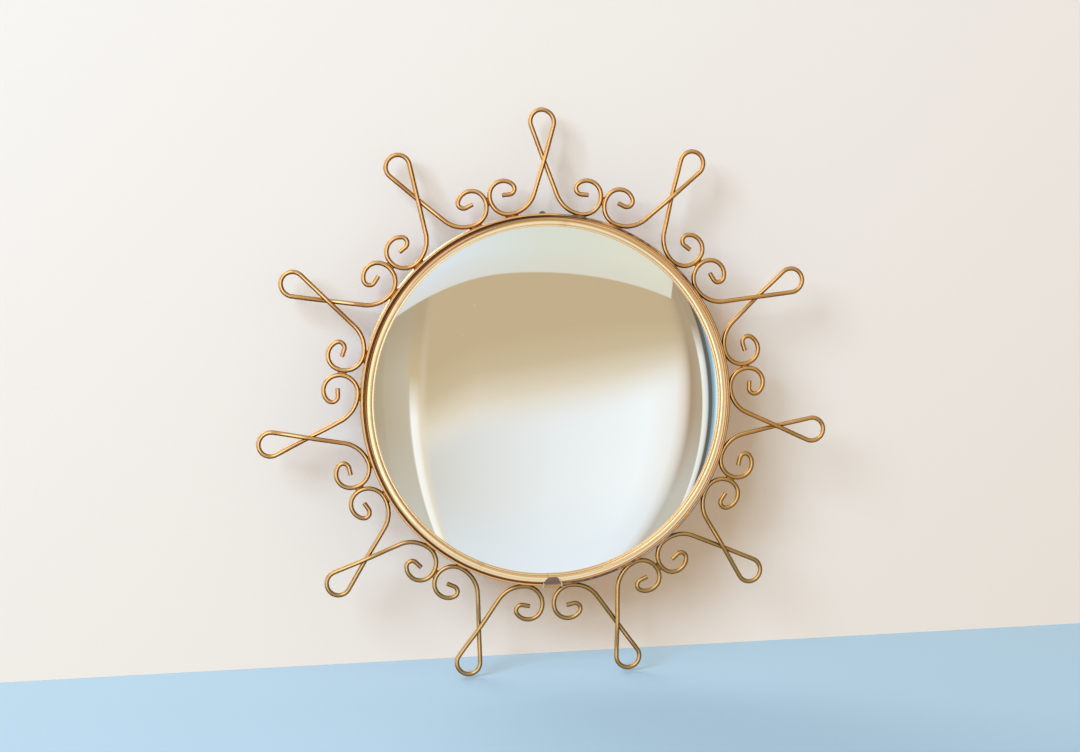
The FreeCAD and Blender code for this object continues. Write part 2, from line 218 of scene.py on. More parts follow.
def fill(node, values):
    """Fill a node's inputs, in order or by name, with values, sockets, or nodes for their first output."""
    in_use = [socket for socket in node.inputs if socket.enabled]
    pairs = values.items() if isinstance(values, dict) else enumerate(values)
    for key, value in pairs:
        socket = in_use[key] if isinstance(key, int) else node.inputs[key]
        if isinstance(value, bpy.types.Node):
            value = next(output for output in value.outputs if output.enabled)
        if isinstance(value, bpy.types.NodeSocket):
            node.id_data.links.new(value, socket)
        elif socket.type == "RGBA":
            socket.default_value = (*as_colour(value), 1.0)
        else:
            socket.default_value = value


def add_node(tree, kind, values=(), stops=(), **settings):
    """Add a shader node with its settings, its values and links, and the stops of a ramp."""
    node = tree.nodes.new("ShaderNode" + kind)
    for name, value in settings.items():
        setattr(node, name, value)
    fill(node, values)
    for index, (position, tone) in enumerate(stops):
        elements = node.color_ramp.elements
        element = elements[index] if index < 2 else elements.new(position)
        element.position = position
        element.color = (*as_colour(tone), 1.0)
    return node


def begin_material(name):
    """A new material, with its shader and with add_node for its tree."""
    material = bpy.data.materials.new(name)
    material.use_nodes = True
    tree = material.node_tree
    return material, tree.nodes["Principled BSDF"], partial(add_node, tree)


def per_size(millimetres):
    """Texture scale at which a pattern repeats about once in that many millimetres."""
    return 1 / (millimetres * MM)


def towards(add, place, way, start, end, least=0.0, most=1.0):
    """A share that changes between two distances in millimetres, measured along a way to the right and up."""
    along = add("VectorMath", [place, (way[0], 0.0, way[1])], operation="DOT_PRODUCT")
    return add("MapRange", [along, start * MM, end * MM, least, most])


def gilt_drawn_wire():
    """Drawn iron wire, gilded after bending: warm and satiny, browner in patches, olive towards the bottom,
    with painted light: lighter on the upper left, a painted highlight line and painted shade to the right.
    """
    finish = colours()
    material, shader, add = begin_material("gilt_drawn_iron_wire")
    coords = add("TexCoord")
    place = coords.outputs["Object"]
    facing = coords.outputs["Normal"]
    patches = add("TexNoise", [place, per_size(17), 3.0])
    pits = add("TexNoise", [place, per_size(1.6), 2.0])
    browning = add("MapRange", [patches, 0.46, 0.72, 0.0, 0.6])
    # Cloths have rubbed the front and the back of the wire; the upper left side is painted lighter, where the
    # light falls, and the flanks turned from the light keep a painted shade
    lit_upper_left_facing = add("VectorMath", [facing, (-0.42, 0.0, 0.42)], operation="DOT_PRODUCT")
    flatwise = add("Math", [add("SeparateXYZ", [facing]).outputs["Y"]], operation="ABSOLUTE")
    front_and_lit_facing = add("Math", [flatwise, 0.8, lit_upper_left_facing], operation="MULTIPLY_ADD")
    rubbed_and_lit = add("MapRange", [front_and_lit_facing, 0.55, 0.84, 0.0, 1.0])
    # A painted highlight: gold along the line that faces the front and the upper left
    crest = add("MapRange", [front_and_lit_facing, 0.8, 0.96, 0.0, 0.7])
    layers = (
        (rubbed_and_lit, finish.wire_gold),
        (browning, finish.wire_brown),
        # Painted shade: browner towards the right, away from the light
        (towards(add, place, (1, 0), 0, 130, most=0.5), finish.wire_amber_shade),
        # Olive towards the bottom
        (towards(add, place, (0, -1), -10, 140, most=0.75), finish.wire_olive),
        (crest, finish.wire_gold),
    )
    base = finish.wire_flank
    for amount, tone in layers:
        base = add("Mix", [amount, base, tone], data_type="RGBA")
    gloss = add("MapRange", [pits, 0.3, 0.7, 0.1, 0.18])
    bump = add("Bump", {"Height": pits, "Strength": 0.12, "Distance": 0.1 * MM})
    fill(shader, {"Base Color": base, "Roughness": gloss, "Normal": bump, "Metallic": 1.0})
    # Gold stays gold at a glancing angle, so the edges don't turn grey
    fill(shader, {"Specular Tint": finish.wire_amber_shade})
    return material


def ring_place(add):
    """A place on the ring: the point, its X, Y and Z, and its radius from the axis."""
    place = add("TexCoord").outputs["Object"]
    parts = add("SeparateXYZ", [place])
    flat = add("CombineXYZ", [parts.outputs["X"], parts.outputs["Z"]])
    return place, parts, add("VectorMath", [flat], operation="LENGTH")


def lacquered_rolled_brass():
    """Brass sheet rolled to a moulding and lacquered: bright, with fine drawn lines along the ring, and with
    painted highlights and painted shade in its colour.
    """
    finish = colours()
    size = ring_sizes()
    material, shader, add = begin_material("lacquered_rolled_brass")
    place, parts, radius = ring_place(add)
    turn = add("Math", [parts.outputs["X"], parts.outputs["Z"]], operation="ARCTAN2")
    # The rolls leave lines about 0.1 mm apart, drawn at 0.7 mm here so that they show
    line_scale = per_size(0.7)
    across = add("Math", [radius, line_scale], operation="MULTIPLY")
    behind = add("Math", [parts.outputs["Y"], line_scale], operation="MULTIPLY")
    along = add("Math", [turn, 5.0], operation="MULTIPLY")
    lines = add("TexNoise", [add("CombineXYZ", [across, behind, along]), 1.0, 2.0])

    # How far out a place is, from 0 at the lip to 1 at the hoop: bright lines on the bead, crest and slope
    # are painted highlights, on brass that is rubbed there too
    groove_rim = wall_radius() + size.inner_round + size.outer_round + size.groove
    outwards = add("MapRange", [radius, size.lip_radius, groove_rim, 0.0, 1.0])
    gold = finish.moulding_gold
    bright = finish.moulding_highlight
    rubbed = add(
        "ValToRGB", [outwards],
        stops=[
            (0.0, gold), (0.06, bright), (0.13, bright), (0.19, gold), (0.28, bright),
            (0.46, bright), (0.56, gold), (0.68, bright), (0.84, gold),
        ],
    )
    # Painted shade: the lacquer is darkened to brown on the outer slope at the upper left, higher up the
    # slope near the top left, in the groove on the left half, and beside the bead at the far left, where
    # these faces turn from the light
    slope = add("MapRange", [outwards, 0.48, 0.7, 0.0, 1.0])
    high_slope = add("MapRange", [outwards, 0.34, 0.48, 0.0, 1.0])
    groove = add("MapRange", [outwards, 0.83, 0.87, 0.0, 1.0])
    bead_line = add("ValToRGB", [outwards], stops=[(0.18, 0), (0.24, 0.6), (0.3, 0.6), (0.38, 0)])
    shaded_places = (
        (slope, towards(add, place, (-0.8, 0.6), 40, 110, most=0.9)),
        (high_slope, towards(add, place, (-0.57, 0.82), 116, 129, most=0.75)),
        (groove, towards(add, place, (-1, 0), -30, 0)),
        (bead_line, towards(add, place, (-1, 0), 50, 110)),
    )
    brown = 0.0
    for line, part in shaded_places:
        browned = add("Math", [line, part], operation="MULTIPLY")
        brown = add("Math", [brown, browned], operation="MAXIMUM")
    # Grime and painted shade fill the groove at the upper left and, less, at the lower left
    high_left = towards(add, place, (-0.6, 0.8), 80, 118, most=0.6)
    low_left = towards(add, place, (-0.77, -0.64), 100, 125, most=0.5)
    grimed = add("Math", [high_left, low_left], operation="MAXIMUM")
    groove_grime_and_shade = add("Math", [groove, grimed], operation="MULTIPLY")
    # On the right two browner lines of painted shade run along the crest and the outer slope
    right_shade_lines = add(
        "ValToRGB", [outwards],
        stops=[
            (0.36, 0), (0.43, 0.6), (0.49, 0.6), (0.56, 0),
            (0.68, 0), (0.74, 0.5), (0.8, 0.5), (0.86, 0),
        ],
    )
    shade_lined = add("Math", [right_shade_lines, towards(add, place, (1, 0), 20, 70)], operation="MULTIPLY")
    patches = add("TexNoise", [place, per_size(11), 4.0])
    bare = add("MapRange", [patches, 0.62, 0.78, 0.0, 0.35])
    # The worn brass colour shows in bare patches and in the painted shade lines
    worn = add("Math", [bare, shade_lined], operation="MAXIMUM")
    layers = ((brown, finish.moulding_painted_shade), (groove_grime_and_shade, finish.groove_dark), (worn, finish.moulding_worn_and_shade))
    base = rubbed
    for amount, tone in layers:
        base = add("Mix", [amount, base, tone], data_type="RGBA")
    gloss = add("MapRange", [lines, 0.3, 0.7, 0.14, 0.21])
    fill(shader, {"Base Color": base, "Roughness": gloss, "Metallic": 1.0})
    return material


def worn_stops(zones):
    """Ramp stops round the ring, white inside the zones of degrees and black between them."""
    soft_edge = 2.0
    stops = []
    for start, end in zones:
        for degrees, level in ((start - soft_edge, 0), (start, 1), (end, 1), (end + soft_edge, 0)):
            stops.append((degrees / 360, level))
    return stops


def worn_gilt_strip():
    """Gilded steel strip: gold, with dark grime and bare steel where hands and damp have worn it, and painted
    shade on its walls and on its front edge at the right.
    """
    finish = colours()
    material, shader, add = begin_material("worn_gilt_steel_strip")
    place, parts, radius = ring_place(add)
    turn = add("Math", [parts.outputs["X"], parts.outputs["Z"]], operation="ARCTAN2")
    blotches = add("TexNoise", [place, per_size(6), 4.0])
    flecks = add("TexNoise", [place, per_size(1.8), 3.0])
    turns = add("MapRange", [turn, -math.pi, math.pi, -0.5, 0.5])
    round_share = add("Math", [turns, 1.0], operation="FLOORED_MODULO")
    steel_zones = add("ValToRGB", [round_share], stops=worn_stops([(112, 172)]))
    dark_zones = add(
        "ValToRGB", [round_share], stops=worn_stops([(5, 17), (22, 36), (44, 53), (150, 178)])
    )
    bare = add("MapRange", [blotches, 0.42, 0.56, 0.0, 1.0])
    steel = add("Math", [bare, steel_zones], operation="MULTIPLY")
    grime = add("MapRange", [blotches, 0.36, 0.6, 0.45, 0.95])
    grimed = add("Math", [grime, dark_zones], operation="MULTIPLY")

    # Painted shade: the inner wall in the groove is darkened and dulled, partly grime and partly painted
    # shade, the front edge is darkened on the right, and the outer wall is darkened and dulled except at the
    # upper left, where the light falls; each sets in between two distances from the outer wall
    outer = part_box("ray_hoop")[1].x
    inner_wall = add("MapRange", [radius, outer - 1.3 * MM, outer - 1.55 * MM, 0.0, 0.45])
    edge = add("MapRange", [radius, outer - 0.8 * MM, outer - 0.55 * MM, 0.0, 0.9])
    outer_wall = add("MapRange", [radius, outer - 0.3 * MM, outer - 0.1 * MM, 0.0, 0.45])
    painted_edge_shade = add("Math", [edge, towards(add, place, (1, 0), 60, 95)], operation="MULTIPLY")
    away_from_light = towards(add, place, (-0.6, 0.8), 60, 110, least=1.0, most=0.0)
    shaded_outer_wall = add("Math", [outer_wall, away_from_light], operation="MULTIPLY")
    dark = inner_wall
    for more in (shaded_outer_wall, painted_edge_shade, grimed):
        dark = add("Math", [dark, more], operation="MAXIMUM")

    metal = add("Mix", [steel, finish.hoop_gold, finish.hoop_steel], data_type="RGBA")
    base = add("Mix", [dark, metal, finish.hoop_grime_and_shade], data_type="RGBA")
    shine = add("MapRange", [dark, 0.0, 1.0, 1.0, 0.35])
    gloss = add("MapRange", [flecks, 0.3, 0.7, 0.28, 0.5])
    bump = add("Bump", {"Height": flecks, "Strength": 0.3, "Distance": 0.15 * MM})
    fill(shader, {"Base Color": base, "Metallic": shine, "Roughness": gloss, "Normal": bump})
    return material


def oxidised_plate():
    """Plated steel clip, oxidised: dull mauve-brown, with gold left where the fold is rubbed."""
    finish = colours()
    material, shader, add = begin_material("oxidised_plated_steel")
    place, _, radius = ring_place(add)
    fold_start = 133.2 * MM
    fold_end = 134.4 * MM
    fold = add("MapRange", [radius, fold_start, fold_end, 0.0, 1.0])
    blotches = add("TexNoise", [place, per_size(2.5), 4.0])
    stain = add("Mix", [blotches, finish.clip_dark, finish.clip_brown], data_type="RGBA")
    base = add("Mix", [fold, stain, finish.clip_gold], data_type="RGBA")
    gloss = add("MapRange", [blotches, 0.3, 0.7, 0.38, 0.6])
    bump = add("Bump", {"Height": blotches, "Strength": 0.4, "Distance": 0.2 * MM})
    fill(shader, {"Base Color": base, "Metallic": 0.7, "Roughness": gloss, "Normal": bump})
    return material


def mottled_metal(name, main, stain, size, low, high, rough, relief):
    """A plain metal with stains and relief of given sizes in millimetres."""
    material, shader, add = begin_material(name)
    rougher = rough + 0.2
    blotches = add("TexNoise", [add("TexCoord").outputs["Object"], per_size(size), 4.0])
    amount = add("MapRange", [blotches, low, high, 0.0, 1.0])
    base = add("Mix", [amount, main, stain], data_type="RGBA")
    gloss = add("MapRange", [blotches, 0.3, 0.7, rough, rougher])
    bump = add("Bump", {"Height": blotches, "Strength": 0.4, "Distance": relief * MM})
    fill(shader, {"Base Color": base, "Metallic": 1.0, "Roughness": gloss, "Normal": bump})
    return material


def silvered_glass():
    """Polished glass, silvered behind: a clear mirror with a few specks of dust."""
    finish = colours()
    material, shader, add = begin_material("silvered_polished_glass")
    place = add("TexCoord").outputs["Object"]
    # Dust of about 0.3 mm, drawn at 0.8 mm here so that it shows
    specks = add("TexVoronoi", [place, per_size(9)])
    chance = add("SeparateColor", [specks.outputs["Color"]])
    few = add("Math", [chance, 0.82], operation="GREATER_THAN")
    near = add("MapRange", [specks, 0.045, 0.025, 0.0, 0.5])
    speck = add("Math", [few, near], operation="MULTIPLY")
    base = add("Mix", [speck, finish.silver, finish.dust], data_type="RGBA")
    mirror = add("Math", [1.0, speck], operation="SUBTRACT")
    haze = add("TexNoise", [place, per_size(40), 3.0])
    gloss = add("MapRange", [haze, 0.3, 0.7, 0.008, 0.02])
    fill(shader, {"Base Color": base, "Metallic": mirror, "Roughness": gloss})
    return material


def fibrous(name, main, fibre, size, stretch, rough, relief):
    """A matt sheet with fibres or strokes and relief of given sizes in millimetres."""
    material, shader, add = begin_material(name)
    place = add("TexCoord").outputs["Object"]
    drawn = add("Mapping", {"Vector": place, "Scale": (1.0, 1.0, stretch)})
    fibres = add("TexNoise", [drawn, per_size(size), 6.0])
    cloud = add("TexNoise", [place, per_size(30), 2.0])
    dark = add("MapRange", [fibres, 0.42, 0.68, 0.0, 0.8])
    shade = add("MapRange", [cloud, 0.3, 0.7, 0.0, 0.4])
    darker = add("Math", [dark, shade], operation="MAXIMUM")
    base = add("Mix", [darker, main, fibre], data_type="RGBA")
    bump = add("Bump", {"Height": fibres, "Strength": 0.5, "Distance": relief * MM})
    fill(shader, {"Base Color": base, "Roughness": rough, "Normal": bump})
    return material


def add_piece(name, skin, material, replaced=(), crease=40):
    """A mesh piece that rides the mirror's body and stands for the CAD nodes it replaces."""
    vertices, faces = skin
    mesh = bpy.data.meshes.new(name)
    mesh.from_pydata(vertices, [], faces)
    mesh.validate()
    mesh.polygons.foreach_set("use_smooth", [True] * len(mesh.polygons))
    mesh.set_sharp_from_angle(angle=math.radians(crease))
    mesh.materials.append(material)
    piece = bpy.data.objects.new(name, mesh)
    bpy.context.scene.collection.objects.link(piece)
    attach(piece, BODY)
    if replaced:
        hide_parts(*replaced)
    return piece


def refinish(node, material):
    """Give a CAD node a new material."""
    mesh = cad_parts[node].data
    mesh.materials.clear()
    mesh.materials.append(material)


def on_ring(radius, depth, turn):
    """A point at an angle round the ring, clockwise from the top in radians."""
    return Vector((radius * math.sin(turn), depth, radius * math.cos(turn)))


def heading(turn):
    """Unit vector of a flat figure, anticlockwise from +X in radians."""
    return Vector((math.cos(turn), math.sin(turn)))


def loft(rings):
    """Vertices and faces of a skin over rings of points, with flat ends."""
    count = len(rings[0])
    vertices = [point for ring in rings for point in ring]
    faces = []
    for index in range(len(rings) - 1):
        low = index * count
        high = low + count
        for corner in range(count):
            after = (corner + 1) % count
            faces.append((low + corner, low + after, high + after, high + corner))
    faces.append(tuple(reversed(range(count))))
    faces.append(tuple(range(len(vertices) - count, len(vertices))))
    return vertices, faces


def joined(parts):
    """Vertices and faces of several skins as one."""
    vertices = []
    faces = []
    for part_vertices, part_faces in parts:
        shift = len(vertices)
        vertices.extend(part_vertices)
        faces.extend(tuple(index + shift for index in face) for face in part_faces)
    return vertices, faces


def arc(centre, radius, start, turn, step):
    """Points along an arc of a flat figure, anticlockwise from +X in radians."""
    count = max(3, math.ceil(abs(radius * turn) / step))
    points = []
    for index in range(count + 1):
        here = start + turn * index / count
        points.append(centre + Vector((radius * math.cos(here), radius * math.sin(here))))
    return points


def wall_radius():
    """Radius of the wall behind the moulding's bead."""
    size = ring_sizes()
    return size.lip_radius + 2 * size.bead_radius


def glass_centre():
    """Depth of the centre of the glass's curve."""
    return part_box("mirror_glass")[0].y + ring_sizes().glass_curve


def glass_depth(radius, curve):
    """Depth at a radius of a glass surface with the given curve."""
    return glass_centre() - math.sqrt(curve ** 2 - radius ** 2)


def glass_edge():
    """Depth of the glass's front at the lip of the moulding."""
    size = ring_sizes()
    return glass_depth(size.lip_radius, size.glass_curve)


def flattened(point, edge):
    """A point of radius and depth, pressed back where it stands in front of the glass's edge."""
    rise = min(0.0, point.y - edge)
    return Vector((point.x, point.y - rise * (1 - ring_sizes().front_flatness)))


def moulding_section():
    """The moulding's section as points of radius and depth, from the lip round the front to the back."""
    size = ring_sizes()
    step = 0.22 * MM
    edge = glass_edge()
    lip_back = edge - SEAT
    lip_front = lip_back - size.sheet
    inner_radius = wall_radius()
    crest_radius = inner_radius + size.inner_round
    inner_crest = lip_front - size.inner_wall
    shoulder = inner_crest - size.inner_round + size.outer_round
    bezel_radius = crest_radius + size.outer_round
    flange_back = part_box("bezel_ring")[1].y
    flange_rim = bezel_radius + size.groove - SEAT
    cove = (flange_rim - bezel_radius) / 2
    cove_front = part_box("ray_hoop")[0].y + size.groove_depth - cove
    bead_centre = Vector((size.lip_radius + size.bead_radius, lip_back - size.bead_rise))
    inner_centre = Vector((crest_radius, inner_crest))
    outer_centre = Vector((crest_radius, shoulder))
    section = arc(bead_centre, size.bead_radius, -math.pi, math.pi, step)
    section += arc(inner_centre, size.inner_round, -math.pi, QUARTER_TURN, step)
    section += arc(outer_centre, size.outer_round, -QUARTER_TURN, QUARTER_TURN, step)[1:]
    section += arc(Vector((bezel_radius + cove, cove_front)), cove, math.pi, -math.pi, step)
    section += [
        Vector((flange_rim, flange_back)),
        Vector((bezel_radius - size.sheet, flange_back)),
    ]
    section += arc(outer_centre, size.outer_round - size.sheet, 0, -QUARTER_TURN, step)
    section += arc(inner_centre, size.inner_round - size.sheet, -QUARTER_TURN, -QUARTER_TURN, step)[1:]
    section += [
        Vector((inner_radius + size.sheet, lip_back)),
        Vector((size.lip_radius, lip_back)),
    ]
    return [flattened(point, edge) for point in section]


class SUNBURST_OT_make_glass(bpy.types.Operator):
    """Make the convex silvered glass"""
    bl_idname = "sunburst.make_glass"
    bl_label = "Make glass"

    def execute(self, context):
        size = ring_sizes()
        finish = colours()
        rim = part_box("mirror_glass")[1].x
        front_rings = 72
        segments = 240
        ground_edge = 0.3 * MM
        front_curve = size.glass_curve
        back_curve = size.glass_curve - size.glass_thickness
        profile = []
        for index in range(1, front_rings + 1):
            radius = (rim - ground_edge) * index / front_rings
            profile.append((radius, glass_depth(radius, front_curve)))
        profile.append((rim, glass_depth(rim, front_curve) + ground_edge))
        profile.append((rim, glass_depth(rim, back_curve)))
        for share in (0.75, 0.5, 0.25):
            profile.append((rim * share, glass_depth(rim * share, back_curve)))
        turns = [2 * math.pi * index / segments for index in range(segments)]
        rings = []
        for radius, depth in profile:
            rings.append([on_ring(radius, depth, -turn) for turn in turns])
        vertices, faces = loft(rings)
        # The front's flat end gives way to a fan up to the middle
        hub = len(vertices)
        vertices.append(Vector((0, glass_depth(0, front_curve), 0)))
        faces = [face for face in faces if len(face) == 4 or face[0] != segments - 1]
        faces += [(hub, (index + 1) % segments, index) for index in range(segments)]
        skin = (vertices, faces)
        glass = silvered_glass()
        piece = add_piece("convex_glass", skin, glass, ["mirror_glass"], crease=8)
        # Paint brushed over the silvering: dull brown with faint strokes
        paint = fibrous(
            "brushed_backing_paint", finish.back_paint, finish.board_fibre,
            size=4, stretch=0.2, rough=0.6, relief=0.05,
        )
        piece.data.materials.append(paint)
        for polygon in piece.data.polygons:
            if max(polygon.vertices) >= front_rings * segments and hub not in polygon.vertices:
                polygon.material_index = 1
        return {"FINISHED"}


class SUNBURST_OT_make_moulding(bpy.types.Operator):
    """Make the rolled moulding, with the seam where its ends butt"""
    bl_idname = "sunburst.make_moulding"
    bl_label = "Make moulding"

    def execute(self, context):
        size = ring_sizes()
        section = moulding_section()
        seam = math.pi - math.asin(size.seam_offset / size.lip_radius)
        opening = size.seam_gap / size.lip_radius
        steps = 540
        rings = []
        for index in range(steps + 1):
            turn = seam + opening / 2 + (2 * math.pi - opening) * index / steps
            rings.append([on_ring(point.x, point.y, turn) for point in section])
        add_piece("rolled_moulding", loft(rings), lacquered_rolled_brass(), ["bezel_ring"])
        return {"FINISHED"}


class SUNBURST_OT_finish_hoop(bpy.types.Operator):
    """Give the hoop its worn gilding"""
    bl_idname = "sunburst.finish_hoop"
    bl_label = "Finish hoop"

    def execute(self, context):
        refinish("ray_hoop", worn_gilt_strip())
        return {"FINISHED"}


def hoop_place():
    """The hoop's outer radius, and the depth of the middle of its strip, where the rays lie."""
    low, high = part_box("ray_hoop")
    return high.x, (low.y + high.y) / 2


def ray_angles():
    """Angles of the rays round the ring, from the lowest on the left to the lowest on the right."""
    count = sum(1 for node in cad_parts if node.startswith("ray_wire_"))
    pitch = (2 * math.pi - ray_sizes().bottom_opening) / (count - 1)
    return [pitch * (index - (count - 1) / 2) for index in range(count)], pitch


def foot_place():
    """Radius of a foot's centreline, and its angle from the middle of its ray."""
    size = ray_sizes()
    foot_circle = hoop_place()[0] + size.foot_gap + size.wire / 2
    reach = size.sweep + (size.wire + size.scroll_gap) / 2
    return foot_circle, ray_angles()[1] / 2 - math.asin(reach / (foot_circle + size.sweep))


def ray_half(step):
    """Half of a ray's centreline, from the top of its loop to the end of its right-hand scroll."""
    size = ray_sizes()
    foot_circle, foot_angle = foot_place()
    outward = Vector((math.sin(foot_angle), math.cos(foot_angle)))
    foot = outward * foot_circle
    bend_centre = foot + outward * size.foot_bend
    loop_centre = Vector((0, hoop_place()[0] + size.reach - size.wire / 2 - size.loop))
    between = loop_centre - bend_centre
    lean = math.atan2(-between.x, between.y) - math.asin((size.foot_bend - size.loop) / between.length)

    loop = arc(loop_centre, size.loop, QUARTER_TURN, QUARTER_TURN + lean, step)
    foot_bend = arc(bend_centre, size.foot_bend, math.pi + lean, QUARTER_TURN - lean - foot_angle, step)
    arm = crossing_arm(loop[-1], foot_bend[0], step)

    sweep_centre = foot + outward * size.sweep
    sweep_start = 3 * QUARTER_TURN - foot_angle
    sweep = arc(sweep_centre, size.sweep, sweep_start, size.sweep_turn, step)
    scroll_start = sweep_start + size.sweep_turn
    scroll_centre = sweep_centre + heading(scroll_start) * (size.sweep - size.scroll)
    scroll = arc(scroll_centre, size.scroll, scroll_start, size.scroll_turn, step)
    hook_start = scroll_start + size.scroll_turn
    hook_centre = scroll_centre + heading(hook_start) * (size.scroll - size.hook)
    hook = arc(hook_centre, size.hook, hook_start, size.hook_turn, step)
    hook_end = hook_start + size.hook_turn
    tail_way = Vector((-math.sin(hook_end), math.cos(hook_end)))
    tail = [hook[-1] + tail_way * (size.tail * share) for share in (0.25, 0.5, 0.75, 1.0)]

    flat = foot_bend[1:] + sweep[1:] + scroll[1:] + hook[1:] + tail
    return (
        [Vector((point.x, 0, point.y)) for point in loop]
        + arm
        + [Vector((point.x, 0, point.y)) for point in flat]
    )


def crossing_arm(high, low, step):
    """Points of an arm that bows back by half a wire where it passes behind its twin."""
    size = ray_sizes()
    bow = (size.wire + size.crossing_gap) / 2
    bowed_share = 0.9
    run = (low - high).length
    to_crossing = high.x / (high.x - low.x) * run
    span = bowed_share * min(to_crossing, run - to_crossing)
    count = math.ceil(run / step)
    points = []
    for index in range(1, count + 1):
        travel = run * index / count
        here = high + (low - high) * (index / count)
        off = min(1.0, abs(travel - to_crossing) / span)
        points.append(Vector((here.x, bow * (1 + math.cos(math.pi * off)) / 2, here.y)))
    return points


def hand_bent(points, seed, lean, stretch):
    """The points, with the tip leaned and stretched and the line strayed a little, as in a hand-bent wire."""
    size = ray_sizes()
    wave = per_size(38)
    lean_curve = 1.5
    offset = Vector((7.3, 2.9, 4.1)) * seed
    foot = foot_place()[0]
    bent = []
    for point in points:
        share = max(0.0, (point.z - foot) / size.reach)
        off = Vector((lean * share ** lean_curve, 0, stretch * share))
        bent.append(point + off + noise.noise_vector(point * wave + offset) * size.unevenness)
    return bent


def wire_skin(points, radius):
    """Skin of a round wire with square-cut ends whose edges are slightly eased."""
    sides = 16
    easing = 0.22 * MM
    ahead = (points[1] - points[0]).normalized()
    across = ahead.cross(BEHIND).normalized()
    rings = []
    last = len(points) - 1
    for index, point in enumerate(points):
        ahead = (points[min(index + 1, last)] - points[max(index - 1, 0)]).normalized()
        across = (across - ahead * across.dot(ahead)).normalized()
        aside = ahead.cross(across)
        spokes = []
        for side in range(sides):
            turn = 2 * math.pi * side / sides
            spokes.append(across * math.cos(turn) + aside * math.sin(turn))
        if index == 0:
            rings.append([point + spoke * (radius - easing) for spoke in spokes])
            rings.append([point + ahead * easing + spoke * radius for spoke in spokes])
        elif index == last:
            rings.append([point - ahead * easing + spoke * radius for spoke in spokes])
            rings.append([point + spoke * (radius - easing) for spoke in spokes])
        else:
            rings.append([point + spoke * radius for spoke in spokes])
    return loft(rings)


class SUNBURST_OT_make_rays(bpy.types.Operator):
    """Make the bent-wire rays"""
    bl_idname = "sunburst.make_rays"
    bl_label = "Make rays"

    def execute(self, context):
        step = 1.1 * MM
        right = ray_half(step)
        left = [Vector((-point.x, -point.y, point.z)) for point in reversed(right[1:])]
        line = left + right
        plane = Vector((0, hoop_place()[1], 0))
        gilding = gilt_drawn_wire()
        # How far each ray's tip leans clockwise and how much longer it is than the others, in millimetres
        leans = (-0.5, -0.5, -1.4, 2.0, 0.9, -3.0, -1.2, -0.4, -1.6, 1.4, -0.4)
        stretches = (-0.9, -0.6, 0.9, 0.9, -1.4, 0.4, 1.6, 1.0, 0.5, -1.7, -1.4)
        for number, turn in enumerate(ray_angles()[0], start=1):
            turned = Matrix.Rotation(turn, 3, "Y")
            bent = hand_bent(line, number, leans[number - 1] * MM, stretches[number - 1] * MM)
            points = [turned @ point + plane for point in bent]
            skin = wire_skin(points, ray_sizes().wire / 2)
            add_piece("bent_ray_%02d" % number, skin, gilding, ["ray_wire_%02d" % number])
        return {"FINISHED"}


def blob(stations, seed):
    """Skin over oval stations (centre, half width, half depth, across, behind), roughened as filler sets."""
    sides = 14
    rough = 0.12 * MM
    wave = per_size(1.6)
    rings = []
    for centre, half_width, half_depth, across, behind in stations:
        ring = []
        for side in range(sides):
            turn = 2 * math.pi * side / sides
            point = centre + across * (half_width * math.cos(turn)) + behind * (half_depth * math.sin(turn))
            point += noise.noise_vector(point * wave + Vector((seed, 0, 0))) * rough
            ring.append(point)
        rings.append(ring)
    return loft(rings)


def along_blob(steps):
    """Places along a blob from -1 to 1, each with its share of the blob's full section."""
    least = 0.03
    shares = [2 * index / steps - 1 for index in range(steps + 1)]
    return [(share, math.sqrt(max(least, 1 - share ** 2))) for share in shares]


def foot_webs():
    """Skin of the webs of filler between the feet and the hoop."""
    size = ray_sizes()
    hoop_radius, plane = hoop_place()
    foot_circle, foot_angle = foot_place()
    half_length = 4.8 * MM
    half_depth = 1.55 * MM
    end_height = 0.3 * MM
    more_height = 0.5 * MM
    climb = 0.4
    sunk = 0.1 * MM
    raised = 0.7
    webs = []
    for turn in ray_angles()[0]:
        for side in (-1, 1):
            stations = []
            for share, full in along_blob(12):
                out = on_ring(1, 0, turn + side * foot_angle + side * share * half_length / foot_circle)
                lift = (share * half_length) ** 2 / (2 * size.foot_bend)
                half_height = end_height + (lift * climb + more_height) * full
                centre = out * (hoop_radius - sunk + half_height * raised) + BEHIND * plane
                stations.append((centre, half_height, half_depth * full, out, BEHIND))
            webs.append(blob(stations, turn * 5 + side))
    return joined(webs)


def scroll_spots():
    """Skin of the spots of filler between neighbouring scrolls; at the bottom there is none."""
    size = ray_sizes()
    plane = hoop_place()[1]
    foot_circle, foot_angle = foot_place()
    turns, pitch = ray_angles()
    half_length = 3.2 * MM
    half_width = 0.75 * MM
    half_depth = 1.2 * MM
    radius = (foot_circle + size.sweep) * math.cos(pitch / 2 - foot_angle)
    spots = []
    for turn in turns[:-1]:
        out = on_ring(1, 0, turn + pitch / 2)
        across = out.cross(BEHIND)
        stations = []
        for share, full in along_blob(8):
            spread = (share * half_length) ** 2 / (2 * size.sweep)
            centre = out * (radius + share * half_length) + BEHIND * plane
            stations.append((centre, half_width * full + spread, half_depth * full, across, BEHIND))
        spots.append(blob(stations, turn * 5))
    return joined(spots)


